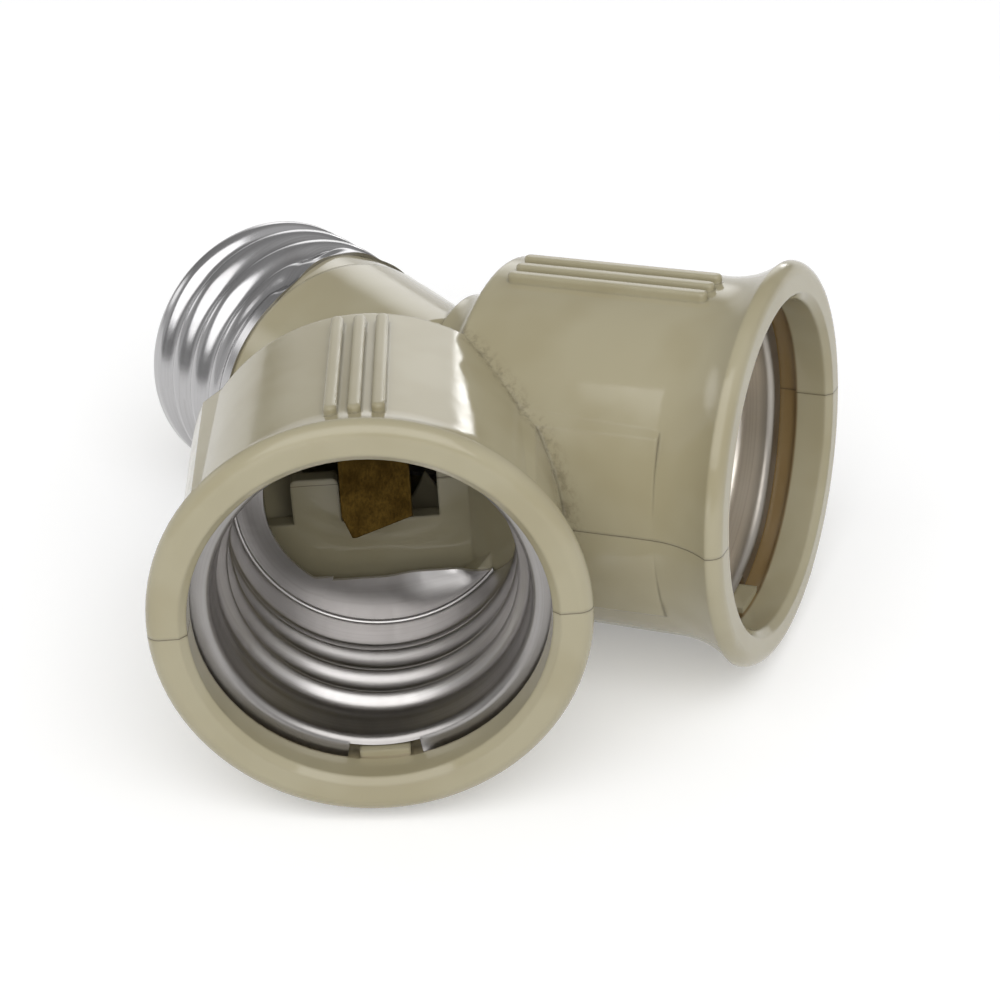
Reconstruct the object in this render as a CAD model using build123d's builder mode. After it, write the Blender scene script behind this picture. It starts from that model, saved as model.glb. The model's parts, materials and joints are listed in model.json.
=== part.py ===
from build123d import *
import os
from math import asin, atan2, cos, hypot, radians, sin, sqrt, tan

# Lamp socket adapter: one screw base feeding two screw sockets, in a housing moulded as two halves.
# Millimetres and degrees. It lies as it comes to rest, on the lower grip ribs and the end of the screw:
# +X runs across the two sockets, +Y towards the screw end and +Z up.
# Lengths along a socket or the screw start where the three lines meet, on the parting plane.

# Screw base, rolled from sheet to the standard 27 mm thread
sheet = 0.35
screw_radius = 13.1
screw_length = 15.46
screw_end_round = 1.2
screw_end_opening = 9.2
thread_depth = 0.9

# Sockets, taking the same thread
socket_angle = 33.0
socket_radius = 13.3
socket_depth = 22.85
socket_band_inset = 0.4
socket_band_length = 4.0
socket_band_step = 0.5
socket_floor_width = 2.85
socket_floor_chord_inset = 1.9
lip_width = 1.55
lip_bend = 0.5
lip_notch_width = 6.3
lip_notch_rise = 0.25

# Housing barrels round the sockets
mouth_distance = 39.85
barrel_length = 26.7
barrel_wall = 2.35
cove_length = 4.2
cove_depth = 4.0
shoulder_length = 3.0
shoulder_angle = 43.4
shoulder_round = 0.6
flare_length = 6.85
rim_flare = 1.97
rim_round = 1.25
mouth_margin = 1.6
mouth_chamfer = 0.6
mouth_depth = 3.45
lip_groove_length = 2.0
lug_width = 4.3
lug_clearance = 0.15

# Side bands along the parting line and grip ribs
band_height_share = 1.055
band_flatness = 2.7
band_proud = 0.5
band_slant = 0.5
band_ledge_width = 2.2
band_ledge_rise = 1.5
band_front_gap = 6.5
rib_count = 3
rib_pitch = 1.95
rib_width = 1.1
rib_proud = 0.7
rib_root = 0.9
rib_round = 0.3
rib_back_gap = 2.0
rib_front_gap = 6.05

# Neck and the spigot inside the screw base
neck_length = 6.6
neck_inset = 0.25
neck_taper = 0.63
neck_wall = 2.2
neck_back = 11.2
neck_back_slope = 2.6
neck_back_wall = 3.8
spigot_length = 12.0
spigot_wall = 2.0
seat_length = 1.0

# Socket floors with their windows, and the partition between the sockets
floor_stand = 2.65
floor_thickness = 1.6
floor_ledge_width = 2.15
partition_thickness = 1.6
window_sill = 3.8
centre_window_outer = 3.5
centre_window_inner = 5.4
centre_window_top = 6.6
side_window_margin = 1.4
side_window_width = 2.55
side_window_top = 4.0
post_rise = 0.6

# Pegs that line up the two halves
peg_radius = 0.7
peg_height = 3.0
peg_depth_room = 0.4
peg_wall_share = 0.5
side_peg_setback = 17.85

# End insulator and tip contact
insulator_nose_length = 2.74
insulator_nose_radius = 6.0
insulator_edge = 0.9
tip_radius = 4.9
tip_thickness = 1.5
tip_round = 0.8
stem_radius = 1.5
peen_radius = 2.3
peen_thickness = 0.8

# Brass contact plate: a tail to the tip and a tongue for each socket
plate_thickness = 0.5
plate_level = 5.0
arm_width = 5.0
tongue_width = 6.3
tongue_stand = 1.2
tongue_reach = 1.6
tongue_drop = 8.1
tongue_bend = 1.2
tongue_corner_rise = 1.9
tongue_corner_inset = 0.9
tongue_tip_rise = 1.6
tab_overhang = 2.6

# Neutral strap: a foot under each socket and a leg to the screw base
strap_thickness = 0.4
strap_width = 3.0
strap_level = 5.0
strap_foot_drop = 2.05
strap_foot_gap = 0.7
strap_foot_height = 1.3
strap_ramp_gap = 0.1
strap_bend = 0.6
strap_leg_setback = 0.5
strap_leg_proud = 0.15

# Clearances
shell_clearance = 0.3
lip_clearance = 0.2
trim_clearance = 0.25
peg_clearance = 0.1
hole_clearance = 0.1
slot_clearance = 0.2
spigot_clearance = 0.25
seat_clearance = 0.1
nose_clearance = 0.2

# Radii that follow from the sizes above
shell_radius = socket_radius + sheet
pocket_radius = shell_radius + shell_clearance
barrel_radius = pocket_radius + barrel_wall
rim_radius = barrel_radius + rim_flare
cove_radius = barrel_radius - cove_depth
band_radius = barrel_radius + band_flatness
band_height = barrel_radius * band_height_share
mouth_radius = socket_radius + mouth_margin
mouth_edge_radius = mouth_radius + mouth_chamfer
lip_radius = shell_radius + lip_width
lip_notch_radius = shell_radius + lip_notch_rise
lug_top = lip_notch_radius + lug_clearance
socket_band_radius = socket_radius - socket_band_inset
socket_floor_opening = socket_band_radius - socket_floor_width
socket_floor_chord = socket_floor_opening - socket_floor_chord_inset
floor_ledge_radius = pocket_radius - floor_ledge_width
side_window_outer = floor_ledge_radius - side_window_margin
side_window_inner = side_window_outer - side_window_width
groove_radius = lip_radius + lip_clearance
neck_radius = screw_radius - neck_inset
neck_bore = neck_radius - neck_wall
spigot_radius = screw_radius - thread_depth - sheet - spigot_clearance
spigot_bore = spigot_radius - spigot_wall
seat_radius = screw_radius - sheet - seat_clearance

# Places along a socket
rim_widest = mouth_distance - rim_round
flare_start = mouth_distance - flare_length
barrel_start = mouth_distance - barrel_length
ring_back = mouth_distance - mouth_depth
groove_back = ring_back - lip_groove_length
shell_floor = mouth_distance - socket_depth
ledge = shell_floor - sheet
floor_front = ledge - floor_stand
floor_back = floor_front - floor_thickness
band_end = shell_floor + socket_band_length
lip_front = ring_back - shell_clearance - lip_clearance
shoulder_rise = tan(radians(shoulder_angle))
cove_start = barrel_start - cove_length
shoulder_start = cove_start - shoulder_length
shoulder_radius = cove_radius - shoulder_length * shoulder_rise
tongue_shoulder = floor_front + tongue_stand
tongue_tip = shell_floor + tongue_reach
strap_foot_level = socket_floor_chord + strap_foot_drop
chamber_radius = strap_foot_level + strap_foot_gap
strap_ramp_top = floor_back - strap_ramp_gap
strap_ramp_bottom = strap_ramp_top - (strap_foot_level - strap_level) / shoulder_rise

# Places along the screw
spigot_end = neck_length + spigot_length
screw_end = neck_length + screw_length
insulator_front = screw_end - sheet
nose_front = screw_end + insulator_nose_length
tip_front = nose_front + tip_thickness

# Rest: the back ends of the lower grip ribs and the rounded end of the screw touch the ground
lean = radians(socket_angle)
rib_end = barrel_start + rib_back_gap + rib_width / 2
rib_spread = rib_pitch * (rib_count - 1) / 2
rest_back = rib_end * cos(lean) - rib_spread * sin(lean) - rib_width / 2 + rib_round
rest_depth = barrel_radius + rib_proud - rib_round
rest_run = rest_back + screw_end - screw_end_round
rest_fall = rest_depth - screw_radius + screw_end_round
tilt = atan2(rest_fall, rest_run) - asin((screw_end_round - rib_round) / hypot(rest_run, rest_fall))
lift = rest_depth * cos(tilt) + rib_round - rest_back * sin(tilt)
rim_reach = (rim_radius - rim_round) * sqrt((sin(lean) * cos(tilt)) ** 2 + sin(tilt) ** 2)
front_end = rim_widest * cos(lean) * cos(tilt) + rim_reach + rim_round
back_end = (tip_front - tip_round) * cos(tilt) + (tip_radius - tip_round) * sin(tilt) + tip_round
shift = (front_end - back_end) / 2

# The parting plane, and on it one plane for each line, with its local X along that line
parting = Plane(origin=(0, shift, lift), x_dir=(1, 0, 0), z_dir=(0, sin(tilt), cos(tilt)))
left_bay = parting.moved(Rotation(0, 0, -90 - socket_angle))
right_bay = parting.moved(Rotation(0, 0, -90 + socket_angle))
screw_line = parting.moved(Rotation(0, 0, 90))
bays = (left_bay, right_bay)
middle = Plane(origin=parting.origin, x_dir=parting.y_dir, z_dir=parting.x_dir)


def centre(line):
    """The axis that a line's turned shapes spin about."""
    return Axis(line.origin, line.x_dir)


def across(line, distance):
    """The plane square to a line, with its local X sideways and its local Y up from the parting."""
    return Plane(line.from_local_coords((distance, 0, 0)), x_dir=line.y_dir, z_dir=line.x_dir)


def upright(line):
    """The plane through a line that stands on the parting, with its local X along the line."""
    return Plane(line.origin, x_dir=line.x_dir, z_dir=-line.y_dir)


def inward(bay):
    """The sign of a bay's sideways direction that points at the other socket."""
    return 1 if bay is left_bay else -1


def keep_side(bay, gap):
    """Cut the part in hand at a gap from the middle and keep the bay's own side."""
    if bay is left_bay:
        split(bisect_by=middle.offset(-gap), keep=Keep.BOTTOM)
    else:
        split(bisect_by=middle.offset(gap), keep=Keep.TOP)


# Side bands: flat-faced pads on both sides of each barrel, with sloped ledges above and below
band_length = barrel_length - band_front_gap
band_centre = band_proud - band_flatness
band_edge = sqrt(band_radius**2 - (band_height / 2) ** 2) + band_centre
band_root = band_edge - band_ledge_width
band_root_height = band_height / 2 + band_ledge_rise
with BuildPart() as side_bands:
    for bay in bays:
        for side in (1, -1):
            with BuildSketch(across(bay, barrel_start)):
                with BuildLine():
                    ThreePointArc(
                        (side * band_edge, band_height / 2),
                        (side * (band_radius + band_centre), 0),
                        (side * band_edge, -band_height / 2),
                    )
                    Polyline(
                        (side * band_edge, -band_height / 2),
                        (side * band_root, -band_root_height),
                        (side * band_root, band_root_height),
                        (side * band_edge, band_height / 2),
                    )
                make_face()
            slant = bay.x_dir * band_length - bay.y_dir * side * band_slant
            extrude(amount=slant.length, dir=slant)

# Grip ribs: rounded bars along the top and the bottom of each barrel
rib_length = barrel_length - rib_front_gap - rib_back_gap
with BuildPart() as grip_ribs:
    for bay in bays:
        with BuildSketch(bay.offset(barrel_radius + rib_proud)):
            with Locations((barrel_start + rib_back_gap + rib_length / 2, 0)):
                with GridLocations(1, rib_pitch, 1, rib_count):
                    SlotOverall(rib_length, rib_width)
        extrude(amount=-rib_proud - rib_root)
    crests = grip_ribs.faces().filter_by(parting).sort_by(Axis(parting.origin, parting.z_dir))
    fillet([edge for crest in crests[-2 * rib_count :] for edge in crest.edges()], rib_round)
    mirror(about=parting)

# Room in a barrel: mouth, lip groove, shell pocket and the ledge in front of the floor
rooms = []
for bay in bays:
    with BuildPart() as room:
        with BuildSketch(bay):
            with BuildLine():
                Polyline(
                    (mouth_distance + mouth_chamfer, 0),
                    (mouth_distance + mouth_chamfer, mouth_edge_radius + mouth_chamfer),
                    (mouth_distance - mouth_chamfer, mouth_radius),
                    (ring_back, mouth_radius),
                    (ring_back, groove_radius),
                    (groove_back, groove_radius),
                    (groove_back, pocket_radius),
                    (ledge, pocket_radius),
                    (ledge, floor_ledge_radius),
                    (floor_front, floor_ledge_radius),
                    (floor_front, 0),
                    close=True,
                )
            make_face()
        revolve(axis=centre(bay))
        keep_side(bay, partition_thickness / 2)
    rooms.append(room.part)

# Wiring chamber behind the floors, through the neck and the spigot
with BuildPart() as chamber:
    with BuildSketch(screw_line):
        with BuildLine():
            Polyline(
                (neck_back_wall - neck_back, 0),
                (neck_back_wall - neck_back, neck_bore),
                (neck_length - neck_wall, neck_bore),
                (neck_length - neck_wall, spigot_bore),
                (spigot_end, spigot_bore),
                (spigot_end, 0),
                close=True,
            )
        make_face()
    revolve(axis=centre(screw_line))
    for bay in bays:
        with BuildSketch(bay):
            with BuildLine():
                Polyline(
                    (floor_back - chamber_radius / shoulder_rise, 0),
                    (floor_back, chamber_radius),
                    (floor_back, 0),
                    close=True,
                )
            make_face()
        revolve(axis=centre(bay))
    for bay in bays:
        split(bisect_by=across(bay, floor_back), keep=Keep.BOTTOM)

# The whole moulding, before it is parted
cove_arc = (cove_length**2 + cove_depth**2) / (2 * cove_depth)
flare_arc = ((rim_widest - flare_start) ** 2 + rim_flare**2) / (2 * rim_flare)
neck_back_radius = neck_radius - neck_taper
with BuildPart() as moulding:
    for bay in bays:
        with BuildSketch(bay):
            with BuildLine():
                Polyline(
                    (rim_widest, 0),
                    (shoulder_start, 0),
                    (shoulder_start, shoulder_radius),
                    (cove_start, cove_radius),
                )
                RadiusArc((cove_start, cove_radius), (barrel_start, barrel_radius), -cove_arc)
                Line((barrel_start, barrel_radius), (flare_start, barrel_radius))
                RadiusArc((flare_start, barrel_radius), (rim_widest, rim_radius), -flare_arc)
                RadiusArc((rim_widest, rim_radius), (mouth_distance, rim_radius - rim_round), rim_round)
                Polyline((mouth_distance, rim_radius - rim_round), (mouth_distance, 0), (rim_widest, 0))
            make_face()
            fillet(vertices().sort_by_distance((barrel_start, barrel_radius))[0], shoulder_round)
        revolve(axis=centre(bay))
    with BuildSketch(screw_line):
        with BuildLine():
            Polyline(
                (-neck_back, 0),
                (-neck_back, neck_back_radius - neck_back_slope),
                (neck_back_slope - neck_back, neck_back_radius),
                (neck_length, neck_radius),
                (neck_length, seat_radius),
                (neck_length + seat_length, seat_radius),
                (neck_length + seat_length, spigot_radius),
                (spigot_end, spigot_radius),
                (spigot_end, 0),
                close=True,
            )
        make_face()
    revolve(axis=centre(screw_line))
    add(side_bands.part)
    add(grip_ribs.part)
    add(rooms, mode=Mode.SUBTRACT)
    add(chamber.part, mode=Mode.SUBTRACT)

crotch_peg = (0, -(pocket_radius + barrel_wall * peg_wall_share) / sin(lean))
side_peg_radius = pocket_radius + barrel_wall * peg_wall_share
side_pegs = [(mouth_distance - side_peg_setback, -inward(bay) * side_peg_radius) for bay in bays]


# Upper half of the housing, with open windows for the contact plate and holes for the pegs
with BuildPart() as upper_housing:
    add(moulding.part)
    split(bisect_by=parting, keep=Keep.TOP)
    for bay in bays:
        side = inward(bay)
        with BuildSketch(across(bay, floor_back)):
            with BuildLine():
                Polyline(
                    (-side * side_window_outer, -post_rise),
                    (-side * side_window_outer, side_window_top),
                    (-side * centre_window_outer, side_window_top),
                    (-side * centre_window_outer, centre_window_top),
                    (side * centre_window_inner, centre_window_top),
                    (side * centre_window_inner, -post_rise),
                    close=True,
                )
            make_face()
        extrude(amount=floor_thickness, mode=Mode.SUBTRACT)
    with BuildSketch(parting):
        with Locations(crotch_peg):
            Circle(peg_radius + peg_clearance)
    extrude(amount=peg_height + peg_depth_room, mode=Mode.SUBTRACT)
    for bay, place in zip(bays, side_pegs):
        with BuildSketch(bay):
            with Locations(place):
                Circle(peg_radius + peg_clearance)
        extrude(amount=peg_height + peg_depth_room, mode=Mode.SUBTRACT)
upper_housing.part.label = "upper_housing"

# Lower half of the housing, with the shell lugs, the floor posts, the strap slots and the pegs
slot_half_width = strap_width / 2 + slot_clearance
slot_half_height = strap_thickness / 2 + slot_clearance
post_width = side_window_inner - centre_window_outer
with BuildPart() as lower_housing:
    add(moulding.part)
    split(bisect_by=parting, keep=Keep.BOTTOM)
    for bay in bays:
        side = inward(bay)
        with BuildSketch(across(bay, floor_back)):
            with BuildLine():
                Polyline(
                    (-side * side_window_outer, 0),
                    (-side * side_window_outer, -window_sill),
                    (-side * side_window_inner, -window_sill),
                    (-side * side_window_inner, 0),
                    close=True,
                )
            make_face()
            with BuildLine():
                Polyline(
                    (-side * centre_window_outer, 0),
                    (-side * centre_window_outer, -window_sill),
                    (side * centre_window_inner, -window_sill),
                    (side * centre_window_inner, 0),
                    close=True,
                )
            make_face()
            with Locations((0, -strap_foot_level)):
                Rectangle(2 * slot_half_width, 2 * slot_half_height)
        extrude(amount=floor_thickness, mode=Mode.SUBTRACT)
        with BuildSketch(across(bay, floor_back)):
            with Locations((-side * (centre_window_outer + post_width / 2), 0)):
                SlotOverall(post_width, 2 * post_rise)
        extrude(amount=floor_thickness)
        with BuildSketch(across(bay, groove_back)):
            with Locations((0, -lug_top)):
                Rectangle(lug_width, groove_radius - lug_top, align=(Align.CENTER, Align.MAX))
        extrude(amount=lip_groove_length)
    with BuildSketch(across(screw_line, spigot_end)):
        with Locations((0, -spigot_bore)):
            Rectangle(2 * slot_half_width, spigot_wall + slot_clearance, align=(Align.CENTER, Align.CENTER))
        with Locations((0, -spigot_radius)):
            Rectangle(2 * slot_half_width, spigot_wall + slot_clearance, align=(Align.CENTER, Align.CENTER))
    extrude(amount=-strap_leg_setback - strap_thickness - slot_clearance, mode=Mode.SUBTRACT)
    with BuildSketch(parting):
        with Locations(crotch_peg):
            Circle(peg_radius)
    extrude(amount=peg_height)
    for bay, place in zip(bays, side_pegs):
        with BuildSketch(bay):
            with Locations(place):
                Circle(peg_radius)
        extrude(amount=peg_height)
lower_housing.part.label = "lower_housing"

# Screw base: a drawn cup, open at the neck, with a hole in its end for the insulator
with BuildPart() as screw_shell:
    with BuildSketch(screw_line):
        with BuildLine():
            Polyline((neck_length, screw_radius - sheet), (neck_length, screw_radius))
            Line((neck_length, screw_radius), (screw_end - screw_end_round, screw_radius))
            RadiusArc(
                (screw_end - screw_end_round, screw_radius),
                (screw_end, screw_radius - screw_end_round),
                screw_end_round,
            )
            Polyline(
                (screw_end, screw_radius - screw_end_round),
                (screw_end, screw_end_opening),
                (screw_end - sheet, screw_end_opening),
                (screw_end - sheet, screw_radius - screw_end_round),
            )
            RadiusArc(
                (screw_end - sheet, screw_radius - screw_end_round),
                (screw_end - screw_end_round, screw_radius - sheet),
                sheet - screw_end_round,
            )
            Line((screw_end - screw_end_round, screw_radius - sheet), (neck_length, screw_radius - sheet))
        make_face()
    revolve(axis=centre(screw_line))
screw_shell.part.label = "screw_shell"

# End insulator: a disc on the end of the spigot, with a nose through the screw base
boss_radius = screw_end_opening - nose_clearance
with BuildPart() as end_insulator:
    with BuildSketch(screw_line):
        with BuildLine():
            Polyline(
                (spigot_end, stem_radius + hole_clearance),
                (spigot_end, spigot_radius),
                (insulator_front - insulator_edge, spigot_radius),
                (insulator_front, spigot_radius - insulator_edge),
                (insulator_front, boss_radius),
                (screw_end, boss_radius),
                (nose_front, insulator_nose_radius),
                (nose_front, stem_radius + hole_clearance),
                close=True,
            )
        make_face()
    revolve(axis=centre(screw_line))
end_insulator.part.label = "end_insulator"

# Tip contact: a button whose stem is peened over the contact plate
plate_back = spigot_end - plate_thickness
with BuildPart() as tip_contact:
    with BuildSketch(screw_line):
        with BuildLine():
            Polyline(
                (tip_front, 0),
                (plate_back - peen_thickness, 0),
                (plate_back - peen_thickness, peen_radius),
                (plate_back, peen_radius),
                (plate_back, stem_radius),
                (nose_front, stem_radius),
                (nose_front, tip_radius),
                (tip_front - tip_round, tip_radius),
            )
            RadiusArc((tip_front - tip_round, tip_radius), (tip_front, tip_radius - tip_round), tip_round)
            Line((tip_front, tip_radius - tip_round), (tip_front, 0))
        make_face()
    revolve(axis=centre(screw_line))
tip_contact.part.label = "tip_contact"

# Brass contact plate: one stamping with a tail to the tip and a bent tongue in each socket
tongue_tip_level = plate_level - tongue_drop
with BuildPart() as contact_plate:
    for bay in bays:
        with BuildSketch(upright(bay)):
            with BuildLine():
                Line((0, plate_level), (floor_back, plate_level))
            trace(line_width=plate_thickness)
        extrude(amount=arm_width / 2, both=True)
        with BuildSketch(upright(bay)):
            with BuildLine():
                FilletPolyline(
                    (floor_back, plate_level),
                    (tongue_shoulder, plate_level),
                    (tongue_tip, tongue_tip_level),
                    radius=tongue_bend,
                )
            trace(line_width=plate_thickness)
        extrude(amount=tongue_width / 2, both=True)
        side = inward(bay)
        half = tongue_width / 2
        with BuildSketch(across(bay, floor_front)):
            with BuildLine():
                Polyline(
                    (-side * half * 2, tongue_tip_level + tongue_corner_rise),
                    (-side * half, tongue_tip_level + tongue_corner_rise),
                    (-side * (half - tongue_corner_inset), tongue_tip_level),
                    (side * half, tongue_tip_level + tongue_tip_rise),
                    (side * half * 2, tongue_tip_level + tongue_tip_rise),
                    (side * half * 2, tongue_tip_level - tongue_tip_rise),
                    (-side * half * 2, tongue_tip_level - tongue_tip_rise),
                    close=True,
                )
            make_face()
        extrude(amount=2 * (tongue_tip - floor_front), mode=Mode.SUBTRACT)
    with BuildSketch(upright(screw_line)):
        with BuildLine():
            FilletPolyline(
                (0, plate_level),
                (spigot_end - plate_thickness / 2, plate_level),
                (spigot_end - plate_thickness / 2, -tab_overhang),
                radius=plate_thickness,
            )
        trace(line_width=plate_thickness)
    extrude(amount=arm_width / 2, both=True)
    with BuildSketch(across(screw_line, spigot_end)):
        Circle(stem_radius + hole_clearance)
    extrude(amount=-2 * plate_thickness, mode=Mode.SUBTRACT)
contact_plate.part.label = "contact_plate"

# Neutral strap: a foot on the back of each socket shell and a leg out to the screw base
strap_leg = spigot_end - strap_leg_setback - strap_thickness / 2
with BuildPart() as neutral_strap:
    for bay in bays:
        with BuildSketch(upright(bay)):
            with BuildLine():
                FilletPolyline(
                    (ledge - strap_thickness / 2, -strap_foot_level - strap_foot_height),
                    (ledge - strap_thickness / 2, -strap_foot_level),
                    (strap_ramp_top, -strap_foot_level),
                    (strap_ramp_bottom, -strap_level),
                    (0, -strap_level),
                    radius=strap_bend,
                )
            trace(line_width=strap_thickness)
        extrude(amount=strap_width / 2, both=True)
    with BuildSketch(upright(screw_line)):
        with BuildLine():
            FilletPolyline(
                (0, -strap_level),
                (strap_leg, -strap_level),
                (strap_leg, -spigot_radius - strap_leg_proud),
                radius=strap_bend,
            )
        trace(line_width=strap_thickness)
    extrude(amount=strap_width / 2, both=True)
neutral_strap.part.label = "neutral_strap"

# Socket shells: drawn cups with a turned-out lip, cut away where the two would meet
lip_back = lip_front - sheet
bend_start = lip_back - lip_bend
shells = {}
for name, bay in (("left_socket_shell", left_bay), ("right_socket_shell", right_bay)):
    side = inward(bay)
    with BuildPart() as socket_shell:
        with BuildSketch(bay):
            with BuildLine():
                Polyline(
                    (lip_back, shell_radius + lip_bend),
                    (lip_back, lip_radius),
                    (lip_front, lip_radius),
                    (lip_front, shell_radius + lip_bend),
                )
                RadiusArc(
                    (lip_front, shell_radius + lip_bend),
                    (bend_start, socket_radius),
                    lip_bend + sheet,
                )
                Polyline(
                    (bend_start, socket_radius),
                    (band_end + socket_band_step, socket_radius),
                    (band_end, socket_band_radius),
                    (shell_floor, socket_band_radius),
                    (shell_floor, socket_floor_opening),
                    (ledge, socket_floor_opening),
                    (ledge, socket_band_radius + sheet),
                    (band_end, socket_band_radius + sheet),
                    (band_end + socket_band_step, shell_radius),
                    (bend_start, shell_radius),
                )
                RadiusArc((bend_start, shell_radius), (lip_back, shell_radius + lip_bend), -lip_bend)
            make_face()
        revolve(axis=centre(bay))
        with BuildSketch(across(bay, ledge)):
            Circle(socket_floor_opening + sheet)
            with Locations((0, -socket_floor_chord)):
                Rectangle(
                    4 * socket_radius,
                    2 * socket_radius,
                    align=(Align.CENTER, Align.MIN),
                    mode=Mode.SUBTRACT,
                )
        extrude(amount=sheet)
        with BuildSketch(across(bay, ledge)):
            Circle(socket_band_radius)
            with Locations((0, -socket_floor_chord)):
                Rectangle(
                    2 * socket_radius,
                    2 * socket_radius,
                    align=(Align.MIN if side > 0 else Align.MAX, Align.MIN),
                    mode=Mode.INTERSECT,
                )
        extrude(amount=sheet, mode=Mode.SUBTRACT)
        with BuildSketch(across(bay, bend_start)):
            with Locations((0, -lip_notch_radius)):
                Rectangle(lip_notch_width, lip_width, align=(Align.CENTER, Align.MAX))
        extrude(amount=lip_bend + sheet, mode=Mode.SUBTRACT)
        keep_side(bay, partition_thickness / 2 + trim_clearance)
    socket_shell.part.label = name
    shells[name] = socket_shell.part

os.makedirs("parts", exist_ok=True)
pieces = [upper_housing, lower_housing, screw_shell, end_insulator, tip_contact, contact_plate, neutral_strap]
for piece in pieces:
    export_step(piece.part, f"parts/{piece.part.label}.step")
for name, shell in shells.items():
    export_step(shell, f"parts/{name}.step")
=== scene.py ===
import json
import logging
import math
from dataclasses import dataclass, field
from enum import Enum
from functools import reduce
from typing import Any, Sequence

import bmesh
import bpy
import numpy as np
from mathutils import Matrix, Vector


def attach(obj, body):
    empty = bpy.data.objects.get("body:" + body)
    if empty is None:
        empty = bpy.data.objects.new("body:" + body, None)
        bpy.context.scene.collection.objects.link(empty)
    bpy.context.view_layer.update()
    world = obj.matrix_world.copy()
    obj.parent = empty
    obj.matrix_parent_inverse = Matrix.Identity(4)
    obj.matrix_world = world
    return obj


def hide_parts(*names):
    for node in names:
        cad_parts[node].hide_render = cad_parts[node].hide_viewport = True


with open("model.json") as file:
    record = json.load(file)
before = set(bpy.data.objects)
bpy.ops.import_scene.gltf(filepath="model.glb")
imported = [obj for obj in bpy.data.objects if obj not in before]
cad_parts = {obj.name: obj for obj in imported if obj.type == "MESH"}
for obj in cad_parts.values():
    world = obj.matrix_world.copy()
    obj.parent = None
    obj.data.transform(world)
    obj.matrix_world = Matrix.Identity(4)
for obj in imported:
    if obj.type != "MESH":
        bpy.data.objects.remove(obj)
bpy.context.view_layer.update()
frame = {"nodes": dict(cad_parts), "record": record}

MM = 0.001
BODY = "root"
CHART = "chart"
PITCH = 3.63
FULL_TURN = 2 * math.pi
EDGE_SAMPLES = 3
CORNER_SAMPLES = 2
CREASE = math.radians(38.0)
WHITE = (1.0, 1.0, 1.0, 1.0)
Colour = tuple[float, float, float]
Span = tuple[float, float]
Output = bpy.types.NodeSocket
log = logging.getLogger("lamp_socket_adapter")


class Bay(Enum):
    """The two sockets, each with its CAD node, its mount and the sign of its side that faces the other."""

    LEFT = ("left_socket_shell", "left_socket", 1.0)
    RIGHT = ("right_socket_shell", "right_socket", -1.0)

    @property
    def node(self) -> str:
        """Name of the CAD node of this socket's shell."""
        return self.value[0]

    @property
    def mount(self) -> str:
        """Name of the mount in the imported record."""
        return self.value[1]

    @property
    def inward(self) -> float:
        """Sign of the line's side direction that points at the other socket."""
        return self.value[2]


class Slot(Enum):
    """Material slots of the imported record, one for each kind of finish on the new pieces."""

    HOUSING = "housing_plastic"
    SCREW = "screw_aluminium"
    SOCKET = "socket_aluminium"


@dataclass(frozen=True)
class Line:
    """One of the lines that the adapter is built on, as right-handed axes from the meeting point."""

    origin: Vector
    along: Vector
    up: Vector

    @property
    def side(self) -> Vector:
        """Sideways direction, on the parting plane."""
        return self.up.cross(self.along)

    def place(self, local: np.ndarray) -> np.ndarray:
        """Take points from the line's own axes to the row frame.

        Args:
            local: Points as rows of along, side and up, in millimetres.

        Returns:
            The same points in metres, in the row frame.
        """
        axes = np.array([self.along, self.side, self.up])
        return np.array(self.origin) + MM * (local @ axes)


@dataclass(frozen=True)
class Layout:
    """The three lines of the adapter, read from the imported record's mounts."""

    left: Line
    right: Line
    screw: Line

    @classmethod
    def from_record(cls, record: dict[str, Any]) -> "Layout":
        """Work out the lines from the mounts.

        Args:
            record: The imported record.

        Returns:
            The lines, all starting where the sockets' lines meet.
        """
        mounts = {mount["name"]: mount for mount in record["mounts"]}
        axes = {name: Vector(mount["axis"]).normalized() for name, mount in mounts.items()}
        left, right = axes[Bay.LEFT.mount], axes[Bay.RIGHT.mount]
        up = left.cross(right).normalized()
        place = Vector(mounts[Bay.LEFT.mount]["pos_m"])
        origin = place - left * (place.x / left.x)
        return cls(Line(origin, left, up), Line(origin, right, up), Line(origin, axes["screw_base"], up))

    def flat(self, point: Sequence[float]) -> Vector:
        """Turn a direction on the parting plane's axes (across, towards the screw, up) to the row frame."""
        return -self.screw.side * point[0] + self.screw.along * point[1] + self.screw.up * point[2]


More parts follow.
